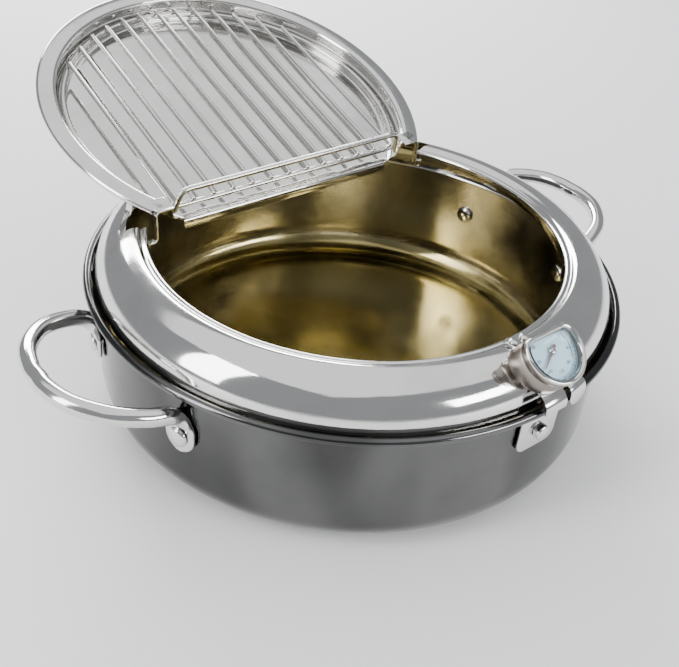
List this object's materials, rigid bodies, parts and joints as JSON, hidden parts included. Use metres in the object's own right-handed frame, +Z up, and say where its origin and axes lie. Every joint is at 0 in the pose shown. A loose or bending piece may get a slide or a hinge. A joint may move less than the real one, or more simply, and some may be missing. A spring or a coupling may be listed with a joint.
{
  "type": "stove-top deep fryer",
  "caption": "Round steel frying pot with a splash ring, a dial thermometer in a rim holder, and a hooked-on drip tray with a wire rack.",
  "frame": {"origin": "centre of the base's underside", "axes": "+Z up; the thermometer is at the front (-Y), the drip tray at the rear (+Y), the handles at +X and -X"},
  "size_m": [0.3248, 0.334, 0.1389],
  "materials": {
    "polished_steel": "mirror polished stainless steel",
    "satin_steel": "satin stainless steel with turned grain",
    "wire_steel": "polished stainless wire",
    "aluminium": "rolled",
    "bimetal": "drawn strip",
    "dial": "matt pale blue print on aluminium",
    "needle": "dull dark red",
    "glass": "clear"
  },
  "bodies": {
    "pot": {"pot_body": "polished_steel", "base_core": "aluminium", "base_cap": "satin_steel", "handle_left": "polished_steel", "handle_right": "polished_steel", "handle_rivet_right_front": "polished_steel", "handle_rivet_right_rear": "polished_steel", "handle_rivet_left_rear": "polished_steel", "handle_rivet_left_front": "polished_steel", "stop_plate": "polished_steel", "stop_stud": "polished_steel"},
    "splash_ring": {"splash_ring": "polished_steel", "thermometer_holder": "polished_steel", "holder_rivet_1": "polished_steel", "holder_rivet_2": "polished_steel", "ring_lift_tab": "polished_steel", "holder_sleeve": "polished_steel"},
    "thermometer": {"thermometer_case": "polished_steel", "thermometer_bezel": "polished_steel", "dial_plate": "dial", "dial_glass": "glass", "probe_tube": "polished_steel", "bimetal_coil": "bimetal"},
    "pointer": {"pointer": "needle", "pointer_spindle": "wire_steel"},
    "drip_tray": {"drip_tray": "polished_steel"},
    "rack": {"rack_frame": "wire_steel", "rack_guard": "wire_steel", "rack_bar_01": "wire_steel", "rack_bar_02": "wire_steel", "rack_bar_03": "wire_steel", "rack_bar_04": "wire_steel", "rack_bar_05": "wire_steel", "rack_bar_06": "wire_steel", "rack_bar_07": "wire_steel", "rack_bar_08": "wire_steel", "rack_bar_09": "wire_steel", "rack_bar_10": "wire_steel", "rack_bar_11": "wire_steel", "rack_bar_12": "wire_steel", "rack_bar_13": "wire_steel"}
  },
  "joints": [
    {"name": "ring_lift", "type": "slide", "parent": "pot", "child": "splash_ring", "axis": [0, 0, 1], "range_m": [0, 0.08]},
    {"name": "thermometer_pull", "type": "slide", "parent": "splash_ring", "child": "thermometer", "axis": [0, -0.5878, 0.809], "range_m": [0, 0.065]},
    {"name": "pointer_turn", "type": "hinge", "parent": "thermometer", "child": "pointer", "pos_m": [0, -0.121, 0.096], "axis": [0, 0.5878, -0.809], "range_deg": [-176, 64]},
    {"name": "tray_tip", "type": "hinge", "parent": "splash_ring", "child": "drip_tray", "pos_m": [0, 0.0488, 0.0788], "axis": [1, 0, 0], "range_deg": [0, 75]},
    {"name": "rack_lift", "type": "slide", "parent": "drip_tray", "child": "rack", "axis": [0, -0.2823, 0.9593], "range_m": [0, 0.06]}
  ]
}
